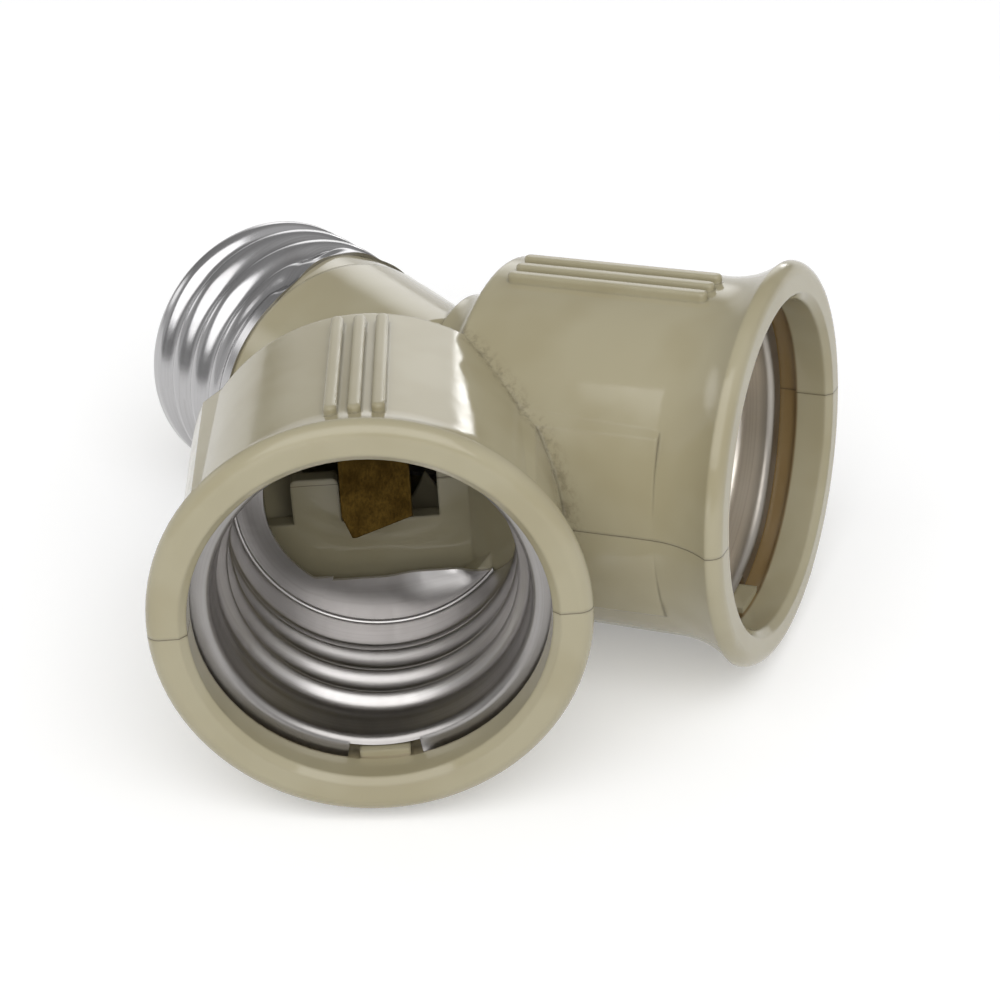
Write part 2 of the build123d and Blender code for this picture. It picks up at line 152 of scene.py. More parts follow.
class Shader:
    """A material or world under construction: adds nodes, fills their sockets and joins them."""

    NUMBERS = ("DOT_PRODUCT", "LENGTH")

    def __init__(self, owner: bpy.types.Material | bpy.types.World) -> None:
        """Empty the owner's node tree.

        Args:
            owner: The material or world whose nodes are built.
        """
        owner.use_nodes = True
        self.tree = owner.node_tree
        self.tree.nodes.clear()

    def node(self, kind: str, inputs: dict[Any, Any] | None = None, **settings: Any) -> bpy.types.Node:
        """Add one node.

        Args:
            kind: Blender's name of the node type.
            inputs: Values or output sockets for the node's sockets, by name or number.
            settings: Properties of the node itself.

        Returns:
            The new node.
        """
        made = self.tree.nodes.new(kind)
        for key, value in settings.items():
            setattr(made, key, value)
        for key, value in (inputs or {}).items():
            socket = made.inputs[key]
            if isinstance(value, bpy.types.NodeSocket):
                self.tree.links.new(value, socket)
            else:
                socket.default_value = value
        return made

    def math(self, operation: str, *values: Any) -> Output:
        """Add a Math node and return its result."""
        return self.node("ShaderNodeMath", dict(enumerate(values)), operation=operation).outputs[0]

    def product(self, *values: Any) -> Output:
        """Multiply sockets and numbers."""
        return reduce(lambda first, second: self.math("MULTIPLY", first, second), values)

    def vector(self, operation: str, *values: Any) -> Output:
        """Add a Vector Math node and return its result, which is a number for products and lengths."""
        made = self.node("ShaderNodeVectorMath", dict(enumerate(values)), operation=operation)
        return made.outputs["Value" if operation in self.NUMBERS else "Vector"]

    def span(self, value: Any, limits: Span, low: float = 0.0, high: float = 1.0) -> Output:
        """Fade smoothly from one value to another.

        Args:
            value: The socket that drives the fade.
            limits: Where the fade begins and ends.
            low: Result at the start and before.
            high: Result at the end and beyond.

        Returns:
            The output socket of the fade.
        """
        inputs = {0: value, 1: limits[0], 2: limits[1], 3: low, 4: high}
        return self.node("ShaderNodeMapRange", inputs, interpolation_type="SMOOTHSTEP").outputs[0]

    def position(self) -> Output:
        """The surface point in the row frame, in millimetres."""
        place = self.node("ShaderNodeTexCoord").outputs["Object"]
        return self.node("ShaderNodeVectorMath", {0: place, "Scale": 1 / MM}, operation="SCALE").outputs[0]

    def reach(self, point: Any, line: Line, direction: Vector) -> Output:
        """How far a point lies from the lines' meeting point in one direction, in millimetres."""
        offset = self.vector("SUBTRACT", point, line.origin / MM)
        return self.vector("DOT_PRODUCT", offset, direction)

    def apart(self, point: Any, line: Line) -> Output:
        """How far a point lies from a line, in millimetres."""
        offset = self.vector("SUBTRACT", point, line.origin / MM)
        return self.vector("LENGTH", self.vector("CROSS_PRODUCT", offset, line.along))

    def noise(self, point: Any, scale: float, detail: float = 3.0, rough: float = 0.5) -> Output:
        """Noise of about 0 to 1 over a vector socket."""
        inputs = {"Vector": point, "Scale": scale, "Detail": detail, "Roughness": rough}
        return self.node("ShaderNodeTexNoise", inputs).outputs["Fac"]

    def blend(self, share: Any, first: Any, second: Any) -> Output:
        """Mix two colours by a share of 0 to 1, through the Mix node's numbered sockets for colours."""
        inputs = {0: share, 6: first, 7: second}
        return self.node("ShaderNodeMix", inputs, data_type="RGBA").outputs[2]

    def rounded(self, radius: float) -> Output:
        """A normal that rounds sharp edges off by a radius in millimetres."""
        return self.node("ShaderNodeBevel", {"Radius": radius * MM}, samples=EDGE_SAMPLES).outputs[0]

    def bump(self, height: Any, strength: float, depth: float, normal: Any = None) -> Output:
        """A normal that follows a pattern of heights.

        Args:
            height: Socket with the pattern.
            strength: Share of the pattern that shows.
            depth: Depth of the pattern, in millimetres.
            normal: Socket with the normal to start from, if it isn't the surface's own.

        Returns:
            The output socket with the normal.
        """
        inputs = {"Strength": strength, "Distance": depth * MM, "Height": height}
        if normal is not None:
            inputs["Normal"] = normal
        return self.node("ShaderNodeBump", inputs).outputs[0]

    def surface(self, shader: Output) -> None:
        """Join a shader to a material's output."""
        self.node("ShaderNodeOutputMaterial", {"Surface": shader})

    def principled(self, inputs: dict[str, Any]) -> None:
        """Make a Principled shader the material's surface."""
        self.surface(self.node("ShaderNodeBsdfPrincipled", inputs).outputs[0])


def rgba(colour: Colour) -> tuple[float, ...]:
    """A colour with full alpha."""
    return (*colour, 1.0)


@dataclass(frozen=True)
class Mottle:
    """A pattern of noise, faded between two of its levels."""

    levels: Span
    scale: float = 1.0
    detail: float = 3.0
    rough: float = 0.5
    stretch: tuple[float, float, float] | None = None

    def pattern(self, shader: Shader, point: Any) -> Output:
        """The bare noise over a point.

        Args:
            shader: The material under construction.
            point: Socket with the point.

        Returns:
            The output socket with the noise.
        """
        if self.stretch is not None:
            point = shader.vector("MULTIPLY", point, self.stretch)
        return shader.noise(point, self.scale, self.detail, self.rough)

    def share(self, shader: Shader, point: Any, low: float = 0.0, high: float = 1.0) -> Output:
        """The noise over a point, faded from low to high."""
        return shader.span(self.pattern(shader, point), self.levels, low, high)


@dataclass(frozen=True)
class CreamPlastic:
    """Glossy cream moulding with a hairline at its parting line, painted shade in its hollows, dirt specks
    along the valley and painted shade in the grooves round the lips.

    Places and reaches are in millimetres, and a pair of them is where a fade begins and ends.
    """

    layout: Layout
    colour: Colour = (0.378, 0.341, 0.228)
    shade: Colour = (0.345, 0.306, 0.194)
    # Dark colour for the dirt specks, the parting hairline and the painted shade in the hollows.
    grime_and_shade: Colour = (0.115, 0.088, 0.050)
    # Colour of the painted shade in the grooves round the lips.
    groove: Colour = (0.205, 0.128, 0.046)
    # Skin
    refraction: float = 1.5
    roughness: float = 0.11
    polish: Mottle = Mottle((0.3, 0.75), scale=0.4, detail=2.0)
    polish_range: Span = (0.75, 1.45)
    clouds: Mottle = Mottle((0.38, 0.66), scale=0.11, detail=2.0)
    edge_round: float = 0.4
    ripple_scale: float = 0.22
    ripple_detail: float = 2.0
    ripple_rough: float = 0.45
    ripple_strength: float = 0.06
    ripple_depth: float = 0.35
    # Painted shade in the hollows between the barrels, and dirt specks along their valley
    corner_patches: Mottle = Mottle((0.42, 0.62), scale=0.5, detail=2.0)
    corner_reach: float = 1.1
    corner_light: Span = (0.75, 0.2)
    corner_across: Span = (8.0, 5.0)
    corner_share: float = 0.5
    valley_specks: Mottle = Mottle((0.42, 0.68), scale=1.7, detail=5.0, rough=0.65)
    valley_across: Span = (1.3, 0.1)
    valley_height: Span = (-9.0, -4.0)
    valley_apart: Span = (15.9, 16.1)
    valley_share: float = 0.4
    # Painted shade in the groove round each lip
    groove_back: Span = (33.4, 34.0)
    groove_front: Span = (36.7, 36.4)
    groove_inside: Span = (14.6, 14.8)
    groove_outside: Span = (15.75, 15.45)
    left_groove_share: float = 0.3
    right_groove_share: float = 0.9
    # Parting line
    seam_half_width: float = 0.02
    seam_fade: float = 2.6
    seam_waver: float = 0.12
    seam_waver_scale: float = 0.35
    seam_share: float = 0.75

    def material(self, name: str) -> bpy.types.Material:
        """Build the node material.

        Args:
            name: Name of the material.

        Returns:
            The finished material.
        """
        made = bpy.data.materials.new(name)
        shader = Shader(made)
        point = shader.position()
        line = self.layout.screw
        height = shader.reach(point, line, line.up)
        across = shader.math("ABSOLUTE", shader.reach(point, line, line.side))
        grime_and_shade, groove = rgba(self.grime_and_shade), rgba(self.groove)
        tone = shader.blend(self.clouds.share(shader, point), rgba(self.colour), rgba(self.shade))
        # Painted shade in the hollows between the barrels.
        tone = shader.blend(self.corners(shader, point, across), tone, grime_and_shade)
        tone = shader.blend(self.valley(shader, point, across, height), tone, grime_and_shade)
        # Painted shade in the grooves round both lips, deeper in the right socket.
        left = self.lip_groove_shade(shader, point, self.layout.left, self.left_groove_share)
        right = self.lip_groove_shade(shader, point, self.layout.right, self.right_groove_share)
        tone = shader.blend(right, shader.blend(left, tone, groove), groove)
        tone = shader.blend(self.seam(shader, point, height), tone, grime_and_shade)
        polish = [self.roughness * share for share in self.polish_range]
        ripple = shader.noise(point, self.ripple_scale, self.ripple_detail, self.ripple_rough)
        rounded = shader.rounded(self.edge_round)
        shader.principled(
            {
                "Base Color": tone,
                "Roughness": self.polish.share(shader, point, *polish),
                "Normal": shader.bump(ripple, self.ripple_strength, self.ripple_depth, rounded),
                "IOR": self.refraction,
            }
        )
        return made

    def corners(self, shader: Shader, point: Any, across: Any) -> Output:
        """Share of painted shade in the hollows between the barrels, from ambient occlusion and laid in
        patches.

        Args:
            shader: The material under construction.
            point: Socket with the surface point.
            across: Socket with the distance from the plane between the sockets.

        Returns:
            The output socket with the share.
        """
        reach = {"Distance": self.corner_reach * MM}
        light = shader.node("ShaderNodeAmbientOcclusion", reach, samples=CORNER_SAMPLES).outputs["AO"]
        near = shader.span(across, self.corner_across, 0.0, self.corner_share)
        hollow = shader.span(light, self.corner_light)
        return shader.product(hollow, near, self.corner_patches.share(shader, point))

    def valley(self, shader: Shader, point: Any, across: Any, height: Any) -> Output:
        """Share of the dark specks along the valley where the barrels meet.

        Args:
            shader: The material under construction.
            point: Socket with the surface point.
            across: Socket with the distance from the plane between the sockets.
            height: Socket with the height above the parting plane.

        Returns:
            The output socket with the share.
        """
        middle = shader.span(across, self.valley_across)
        above = shader.span(height, self.valley_height)
        speck = self.valley_specks.share(shader, point)
        bays = (self.layout.left, self.layout.right)
        nearest = shader.math("MINIMUM", *(shader.apart(point, bay) for bay in bays))
        outside = shader.span(nearest, self.valley_apart, 0.0, self.valley_share)
        return shader.product(middle, above, speck, outside)

    def lip_groove_shade(self, shader: Shader, point: Any, bay: Line, share: float) -> Output:
        """Share of painted shade in the groove round a socket's metal lip.

        Args:
            shader: The material under construction.
            point: Socket with the surface point.
            bay: The socket's line.
            share: Greatest share.

        Returns:
            The output socket with the share.
        """
        depth = shader.reach(point, bay, bay.along)
        away = shader.apart(point, bay)
        back = shader.span(depth, self.groove_back)
        front = shader.span(depth, self.groove_front, 0.0, share)
        inside = shader.span(away, self.groove_inside)
        outside = shader.span(away, self.groove_outside)
        return shader.product(back, front, inside, outside)

    def seam(self, shader: Shader, point: Any, height: Any) -> Output:
        """Share of the dark hairline on the parting plane, which wavers a little.

        Args:
            shader: The material under construction.
            point: Socket with the surface point.
            height: Socket with the height above the parting plane.

        Returns:
            The output socket with the share.
        """
        noise = shader.noise(point, self.seam_waver_scale)
        wave = shader.math("MULTIPLY_ADD", noise, self.seam_waver, -self.seam_waver / 2)
        off = shader.math("ABSOLUTE", shader.math("ADD", height, wave))
        edge = (self.seam_half_width, self.seam_half_width * self.seam_fade)
        return shader.span(off, edge, self.seam_share, 0.0)


@dataclass(frozen=True)
class DrawnAluminium:
    """Thin bright sheet with drawing streaks round it, faint stains and, on a socket, painted shade over the
    lip and its bend.

    The patterns and the lip's lengths lie on the shell's own map of turns and lengths, in millimetres.
    """

    colour: Colour = (0.47, 0.465, 0.47)
    dull: Colour = (0.34, 0.325, 0.32)
    roughness: float = 0.21
    # Painted shade over a socket's lip and bend, which holds down their reflection.
    lip_shade_share: float = 0.0
    lip_shade: Colour = (0.13, 0.12, 0.11)
    lip_lengths: Span = (1.8, 3.0)
    streaks: Mottle = Mottle((0.40, 0.72), detail=4.0, rough=0.6, stretch=(0.03, 5.0, 1.0))
    streak_share: float = 0.4
    streak_strength: float = 0.3
    streak_depth: float = 0.01
    stains: Mottle = Mottle((0.5, 0.78), detail=4.0, stretch=(0.12, 0.3, 1.0))
    stain_share: float = 0.6
    scratches: Mottle = Mottle((0.3, 0.75), stretch=(1.6, 0.08, 1.0))
    scratch_range: Span = (0.95, 1.1)

    def material(self, name: str) -> bpy.types.Material:
        """Build the node material.

        Args:
            name: Name of the material.

        Returns:
            The finished material.
        """
        made = bpy.data.materials.new(name)
        shader = Shader(made)
        chart = shader.node("ShaderNodeUVMap", uv_map=CHART).outputs[0]
        streaks = self.streaks.pattern(shader, chart)
        streaked = shader.span(streaks, self.streaks.levels, 0.0, self.streak_share)
        stained = self.stains.share(shader, chart, 0.0, self.stain_share)
        tone = shader.blend(shader.math("MAXIMUM", streaked, stained), rgba(self.colour), rgba(self.dull))
        length = shader.node("ShaderNodeSeparateXYZ", {0: chart}).outputs["Y"]
        # Painted shade over the lip and its bend.
        lip = shader.span(length, self.lip_lengths, self.lip_shade_share, 0.0)
        polish = [self.roughness * share for share in self.scratch_range]
        shader.principled(
            {
                "Base Color": shader.blend(lip, tone, rgba(self.lip_shade)),
                "Metallic": 1.0,
                "Roughness": self.scratches.share(shader, chart, *polish),
                "Normal": shader.bump(streaks, self.streak_strength, self.streak_depth),
            }
        )
        return made


@dataclass(frozen=True)
class StampedMetal:
    """Plain strip or turned metal with a dull, mottled skin."""

    colour: Colour
    tarnish: Colour
    roughness: float = 0.35
    clouds: Mottle = Mottle((0.35, 0.65), scale=0.55, detail=6.0, rough=0.6)
    grain: Mottle = Mottle((0.3, 0.7), stretch=(6.0, 6.0, 0.6))
    grain_range: Span = (0.8, 1.35)
    grain_strength: float = 0.4
    grain_depth: float = 0.02
    edge_round: float = 0.12

    def material(self, name: str) -> bpy.types.Material:
        """Build the node material.

        Args:
            name: Name of the material.

        Returns:
            The finished material.
        """
        made = bpy.data.materials.new(name)
        shader = Shader(made)
        point = shader.position()
        grain = self.grain.pattern(shader, point)
        polish = [self.roughness * share for share in self.grain_range]
        rounded = shader.rounded(self.edge_round)
        clouds = self.clouds.share(shader, point)
        shader.principled(
            {
                "Base Color": shader.blend(clouds, rgba(self.colour), rgba(self.tarnish)),
                "Metallic": 1.0,
                "Roughness": shader.span(grain, self.grain.levels, *polish),
                "Normal": shader.bump(grain, self.grain_strength, self.grain_depth, rounded),
            }
        )
        return made


@dataclass
class SheetMesh:
    """A thin sheet turned round a line at given angles in radians, as one closed skin of rings."""

    line: Line
    angles: np.ndarray
    rings: list[tuple[np.ndarray, np.ndarray]] = field(default_factory=list)
    closing_length: float = 1.0

    def ring(self, along: Any, radius: Any) -> None:
        """Add a ring, with its place and radius as numbers or as one value for each angle."""
        size = self.angles.shape
        self.rings.append((np.broadcast_to(along, size), np.broadcast_to(radius, size)))

    def arc(self, centre: Span, radius: float, start: float, end: float, steps: int) -> None:
        """Add rings along an arc of the sheet's section.

        Args:
            centre: Place along the line and radius of the arc's centre.
            radius: Radius of the arc.
            start: First angle in degrees, from the line's direction outward.
            end: Last angle in degrees.
            steps: Number of rings.
        """
        for turn in np.radians(np.linspace(start, end, steps)):
            self.ring(centre[0] + radius * math.cos(turn), centre[1] + radius * math.sin(turn))

    def build(self, name: str) -> bpy.types.Object:
        """Skin the rings into a closed mesh with a map of turns and lengths.

        Args:
            name: Name of the new piece.

        Returns:
            The new object, linked to the scene.
        """
        along = np.array([ring[0] for ring in self.rings])
        radius = np.array([ring[1] for ring in self.rings])
        rows, turns = along.shape
        local = np.stack([along, radius * np.cos(self.angles), radius * np.sin(self.angles)], -1)
        points = self.line.place(local.reshape(-1, 3))
        row = np.repeat(np.arange(rows), turns)
        turn = np.tile(np.arange(turns), rows)
        here, ahead = row * turns, (row + 1) % rows * turns
        next_turn = (turn + 1) % turns
        corners = np.stack([here + turn, here + next_turn, ahead + next_turn, ahead + turn], -1)
        mesh = bpy.data.meshes.new(name)
        mesh.from_pydata(points.tolist(), [], corners.tolist())
        lengths = np.hypot(np.diff(along, axis=0), np.diff(radius, axis=0)).mean(1)
        length = np.concatenate([[0.0], np.cumsum(lengths), [float(lengths.sum() + self.closing_length)]])
        arc = np.append(self.angles, self.angles[0] + FULL_TURN) * float(radius.mean())
        steps = ((0, 0), (1, 0), (1, 1), (0, 1))
        chart = np.stack([np.stack([arc[turn + side], length[row + up]], -1) for side, up in steps], 1)
        layer = mesh.uv_layers.new(name=CHART)
        layer.data.foreach_set("uv", chart.astype(np.float32).ravel())
        piece = bpy.data.objects.new(name, mesh)
        bpy.context.scene.collection.objects.link(piece)
        return piece


def face_outward(mesh: bpy.types.Mesh) -> None:
    """Turn a closed mesh's faces outward and shade it smooth apart from its creases.

    Args:
        mesh: The mesh to finish.
    """
    work = bmesh.new()
    work.from_mesh(mesh)
    bmesh.ops.recalc_face_normals(work, faces=work.faces)
    work.to_mesh(mesh)
    work.free()
    mesh.polygons.foreach_set("use_smooth", [True] * len(mesh.polygons))
    mesh.set_sharp_from_angle(angle=CREASE)


def smooth(value: np.ndarray, start: float, end: float) -> np.ndarray:
    """Smooth step from 0 at the start to 1 at the end."""
    share = np.clip((value - start) / (end - start), 0.0, 1.0)
    return share * share * (3.0 - 2.0 * share)


def between(value: np.ndarray, rise: Span, fall: Span) -> np.ndarray:
    """Smooth plateau that goes up to 1 over the rise and back to 0 over the fall."""
    return smooth(value, *rise) * (1 - smooth(value, *fall))


def waver(angles: np.ndarray, seed: int) -> np.ndarray:
    """Closed random waver round a ring, of about -1 to 1.

    Args:
        angles: Angles round the ring, in radians.
        seed: Seed of the random phases and heights.

    Returns:
        One value for each angle.
    """
    fewest_waves, most_waves = 2, 10
    least_height, most_height = 0.4, 1.0
    typical_sum = 2.2
    draw = np.random.default_rng(seed)
    total = np.zeros_like(angles)
    for count in range(fewest_waves, most_waves + 1):
        wave = np.sin(count * angles + draw.uniform(0, FULL_TURN))
        total += wave * draw.uniform(least_height, most_height) / math.sqrt(count)
    return total / typical_sum


def finish_piece(piece: bpy.types.Object, slot: Slot, material: bpy.types.Material, *nodes: str) -> None:
    """Smooth and dress a piece, fix it to the body and hide the CAD nodes that it stands for.

    Args:
        piece: The new piece.
        slot: The record's slot that its finish comes from; not used.
        material: Its material.
        nodes: CAD nodes that it stands for.
    """
    face_outward(piece.data)
    piece.data.materials.append(material)
    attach(piece, BODY)
    if nodes:
        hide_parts(*nodes)
    log.info("%s: %d faces", piece.name, len(piece.data.polygons))


@dataclass
class ScrewBase:
    """The rolled screw shell on the neck, with its edge drawn back and folded on the upper far side.

    Sizes are in millimetres, and angles round the screw are in degrees.
    """

    line: Line
    sheet: float = 0.35
    crest_radius: float = 13.08
    thread_depth: float = 0.92
    thread_phase: float = 2.6
    thread_power: float = 1.25
    thread_run_in: float = 1.9
    thread_run_out: Span = (2.6, 1.4)
    # Ends
    start: float = 6.6
    seat_end: float = 7.65
    end: float = 22.06
    end_radius: float = 13.04
    end_taper: Span = (3.2, 1.6)
    end_round: float = 1.2
    end_turn: float = 80.0
    end_opening: float = 9.2
    opening_bevel: Span = (0.1, 0.25)
    # Edge on the neck, with its folds
    edge_recess: float = 3.6
    recess_rise: Span = (58.0, 112.0)
    recess_fall: Span = (160.0, 200.0)
    edge_waver: float = 0.03
    edge_seed: int = 4
    fold_depth: float = 0.8
    fold_pitch: float = 28.0
    fold_slant: float = 1.1
    fold_rise: Span = (60.0, 74.0)
    fold_fall: Span = (122.0, 136.0)
    fold_place: float = 1.4
    fold_reach: float = 1.2
    # Neck that shows under the edge
    neck_radius: float = 12.84
    pad_rise: Span = (44.0, 56.0)
    pad_fall: Span = (202.0, 214.0)
    pad_skin: float = 0.05
    pad_tuck: float = 0.25
    pad_gap: float = 0.04
    pad_root: float = 0.4
    # Mesh
    turns: int = 300
    rings: int = 150
    end_rings: int = 8
    end_back_rings: int = 6

    def angles(self) -> np.ndarray:
        """Even angles round the screw, in radians."""
        return np.linspace(0, FULL_TURN, self.turns, endpoint=False)

    def edge(self, angles: np.ndarray) -> np.ndarray:
        """Place of the shell's edge on the neck, which draws back on the upper far side."""
        turn = np.degrees(angles) % 360
        return self.start + self.edge_recess * between(turn, self.recess_rise, self.recess_fall)

    def radius(self, place: np.ndarray, angles: np.ndarray) -> np.ndarray:
        """Outer radius of the shell.

        Args:
            place: Place along the screw for each angle, in millimetres.
            angles: Angles round it, in radians.

        Returns:
            One radius for each angle.
        """
        wave = np.cos(FULL_TURN * place / PITCH - angles + self.thread_phase)
        groove = (0.5 - 0.5 * wave) ** self.thread_power
        plain = self.edge(angles) + self.seat_end - self.start
        run_out = smooth(place, *(self.end - back for back in self.thread_run_out))
        shape = smooth(place - plain, 0.0, self.thread_run_in) * (1 - run_out)
        taper = smooth(place, *(self.end - back for back in self.end_taper))
        crest = self.crest_radius + (self.end_radius - self.crest_radius) * taper
        return crest - self.thread_depth * groove * shape - self.folds(place, angles)

    def folds(self, place: np.ndarray, angles: np.ndarray) -> np.ndarray:
        """Depth of the folds where the drawn-back edge is pressed onto the neck, and of the edge's waver.

        Args:
            place: Place along the screw for each angle, in millimetres.
            angles: Angles round it, in radians.

        Returns:
            One depth for each angle.
        """
        turn = np.degrees(angles) % 360
        past = place - self.edge(angles)
        wave = np.cos(FULL_TURN * (turn - self.fold_rise[0]) / self.fold_pitch + self.fold_slant * past)
        fold = (0.5 - 0.5 * wave) * between(turn, self.fold_rise, self.fold_fall)
        dents = self.fold_depth * fold * np.exp(-(((past - self.fold_place) / self.fold_reach) ** 2))
        return dents + self.edge_waver * waver(angles, self.edge_seed) * smooth(place, self.end, self.start)

    def build(self, material: bpy.types.Material) -> None:
        """Build the shell with its helical thread.

        Args:
            material: The shell's finish.
        """
        angles = self.angles()
        shell = SheetMesh(self.line, angles)
        straight_end = self.end - self.end_round
        edge = self.edge(angles)
        for share in np.linspace(0, 1, self.rings):
            along = edge + (straight_end - edge) * share
            shell.ring(along, self.radius(along, angles))
        centre = (straight_end, self.end_radius - self.end_round)
        shell.arc(centre, self.end_round, self.end_turn, 0, self.end_rings)
        shell.ring(self.end, self.end_opening + self.opening_bevel[1])
        shell.ring(self.end - self.opening_bevel[0], self.end_opening)
        shell.ring(self.end - self.sheet, self.end_opening)
        shell.arc(centre, self.end_round - self.sheet, 0, self.end_turn, self.end_back_rings)
        for share in np.linspace(1, 0, self.rings // 2):
            along = edge + (straight_end - edge) * share
            shell.ring(along, self.radius(along, angles) - self.sheet)
        piece = shell.build("screw_base_thread")
        finish_piece(piece, Slot.SCREW, material, "screw_shell")

    def build_pad(self, material: bpy.types.Material) -> None:
        """Build the part of the neck that shows where the shell's edge draws back.

        Args:
            material: The housing's finish.
        """
        angles = self.angles()
        shown = between(np.degrees(angles) % 360, self.pad_rise, self.pad_fall)
        inside = self.crest_radius - self.sheet
        under = inside - self.pad_gap
        foot = inside - self.thread_depth - self.pad_root
        skin = foot + self.pad_skin
        pad = SheetMesh(self.line, angles)
        front = self.start + self.pad_skin + (self.edge(angles) + self.pad_tuck - self.start) * shown
        for share in (0.0, 0.5, 1.0):
            radius = self.neck_radius + (under - self.neck_radius) * share
            pad.ring(self.start + (front - self.start) * share, skin + (radius - skin) * shown)
        pad.ring(front, foot)
        pad.ring(self.start, foot)
        piece = pad.build("neck_pad")
        finish_piece(piece, Slot.HOUSING, material)


@dataclass
class SocketShell:
    """A drawn socket shell with its rolled thread, turned-out lip and cut-away floor.

    Sizes are in millimetres, and places count from the lines' meeting point. The dish's angles are degrees
    from the lowest point, and tab_width and the pairs' gaps are radians. Each of band_rows stands ahead of
    the band's end and outside its radius, and each of corner_rows ahead of the floor and inside that radius.
    """

    bay: Bay
    line: Line
    sheet: float = 0.35
    root_radius: float = 13.3
    thread_depth: float = 1.0
    thread_phase: float = 3.05
    thread_power: float = 1.4
    thread_run_in: float = 1.4
    thread_run_out: Span = (4.2, 2.0)
    # Plain band and floor
    floor: float = 17.0
    band_end: float = 21.0
    band_step: float = 0.5
    band_radius: float = 12.9
    band_plain: Span = (1.0, 0.42)
    band_rows: tuple[Span, ...] = ((0.3, 0.26), (0.12, 0.07), (-0.15, 0.0))
    corner_rows: tuple[Span, ...] = ((0.3, 0.03), (0.2, 0.12), (0.16, 0.24), (0.06, 0.3))
    floor_inset: float = 0.35
    floor_opening: float = 10.05
    floor_ledge: float = 0.3
    floor_margin: float = 0.02
    floor_waver: float = 0.03
    floor_seed: int = 11
    back_round: float = 0.2
    back_ease: float = 0.05
    chord: float = 8.2
    nick: float = 0.3
    nick_reach: float = 4.7
    dish: float = 0.65
    dish_rise: Span = (0.0, 22.0)
    dish_fall: Span = (38.0, 46.0)
    dish_power: float = 1.5
    # Lip with its notch
    lip_front: float = 35.9
    lip_setback: float = 0.0
    lip_bend: float = 0.5
    lip_radius: float = 15.2
    lip_middle: float = 0.05
    lip_waver: float = 0.04
    lip_seed: int = 5
    lip_buckle: float = 0.1
    buckle_back: float = 0.6
    buckle_seed: int = 7
    bend_gap: float = 0.1
    notch_width: float = 6.3
    notch_radius: float = 13.9
    notch_inset: float = 0.5
    tab_rise: float = 0.45
    tab_width: float = 0.045
    tab_root: float = 0.4
    # Cut beside the partition
    trim_gap: float = 1.05
    # Mesh
    pair_gap: float = 0.0008
    pair_clear: float = 0.006
    turns: int = 240
    rings: int = 130
    bend_rings: int = 9
    bend_back_rings: int = 6
    band_rings: int = 6
    floor_rings: int = 10

    @property
    def bend_start(self) -> float:
        """Place where the wall begins to turn out into the lip."""
        return self.lip_front - self.lip_setback - self.sheet - self.lip_bend

    @property
    def bend_radius(self) -> float:
        """Radius of the centre of the bend from the wall into the lip."""
        return self.root_radius + self.sheet + self.lip_bend

    @property
    def wall_start(self) -> float:
        """Place where the threaded wall begins."""
        return self.band_end + self.band_step

    @property
    def notch_half(self) -> float:
        """Half of the angle that the lip's notch takes up, in radians."""
        return math.asin(self.notch_width / 2 / (self.lip_radius - self.notch_inset))

    def from_bottom(self, angles: np.ndarray) -> np.ndarray:
        """Angles from the socket's lowest point, in radians, positive towards the other socket."""
        turned = angles + math.pi / 2
        return self.bay.inward * np.arctan2(np.sin(turned), np.cos(turned))

    def angles(self) -> np.ndarray:
        """Choose the angles round the socket, with close pairs where the notch and the floor's step begin.

        Returns:
            The angles in radians, rising.
        """
        even = np.linspace(-math.pi, math.pi, self.turns, endpoint=False)
        bottom, top = -math.pi / 2, math.pi / 2
        nick = math.atan2(-self.chord, -self.nick_reach)
        if self.bay is Bay.RIGHT:
            nick = -math.pi - nick
        places = [bottom - self.notch_half, bottom + self.notch_half, nick, top]
        pairs = [place + shift for place in places for shift in (-self.pair_gap, self.pair_gap)]
        clear = [turn for turn in even if all(abs(turn - place) > self.pair_clear for place in places)]
        return np.sort(np.array(clear + pairs))

    def wall(self, along: float, angles: np.ndarray) -> np.ndarray:
        """Inner radius of the threaded wall.

        Args:
            along: Place along the socket, in millimetres.
            angles: Angles round it, in radians.

        Returns:
            One radius for each angle.
        """
        place = np.full_like(angles, along)
        wave = 0.5 + 0.5 * np.cos(FULL_TURN * place / PITCH - angles + self.thread_phase)
        run_in = (self.wall_start, self.wall_start + self.thread_run_in)
        run_out = (self.bend_start - self.thread_run_out[0], self.bend_start - self.thread_run_out[1])
        shape = wave**self.thread_power * between(place, run_in, run_out)
        return self.root_radius - self.thread_depth * shape

    def floor_edge(self, angles: np.ndarray) -> np.ndarray:
        """Radius of the floor's inner edge: a straight lower edge that runs into a circle on the outer side.

        Args:
            angles: Angles round the socket, in radians.

        Returns:
            One radius for each angle.
        """
        inward, up = self.bay.inward * np.cos(angles), np.sin(angles)
        rim = np.where(inward < 0, self.floor_opening, self.band_radius - self.floor_ledge)
        past_nick = self.chord * inward < self.nick_reach * up
        chord = self.chord - self.nick * past_nick
        least_drop = 1e-6
        edge = np.where(up < 0, np.minimum(rim, chord / np.maximum(-up, least_drop)), rim)
        return edge + self.floor_waver * waver(angles, self.floor_seed)

    def floor_dish(self, angles: np.ndarray) -> np.ndarray:
        """How far the floor's inner edge is pushed back towards the end of its straight edge."""
        return self.dish * between(np.degrees(self.from_bottom(angles)), self.dish_rise, self.dish_fall)

    def lip_edge(self, angles: np.ndarray) -> np.ndarray:
        """Radius of the lip's outer edge, stepped in at the notch for the housing's lug."""
        edge = self.lip_radius + self.lip_waver * waver(angles, self.lip_seed) - self.lip_waver
        return np.where(np.abs(self.from_bottom(angles)) < self.notch_half, self.notch_radius, edge)

    def tab(self, angles: np.ndarray) -> np.ndarray:
        """How far the lip is bent forward beside its notch, on the side of the other socket."""
        past = self.from_bottom(angles) - self.notch_half
        return self.tab_rise * np.exp(-((past / self.tab_width) ** 2)) * (past > 0)

    def buckle(self, angles: np.ndarray) -> np.ndarray:
        """How far the lip is buckled forward."""
        return self.lip_buckle * (waver(angles, self.buckle_seed) - self.buckle_back)

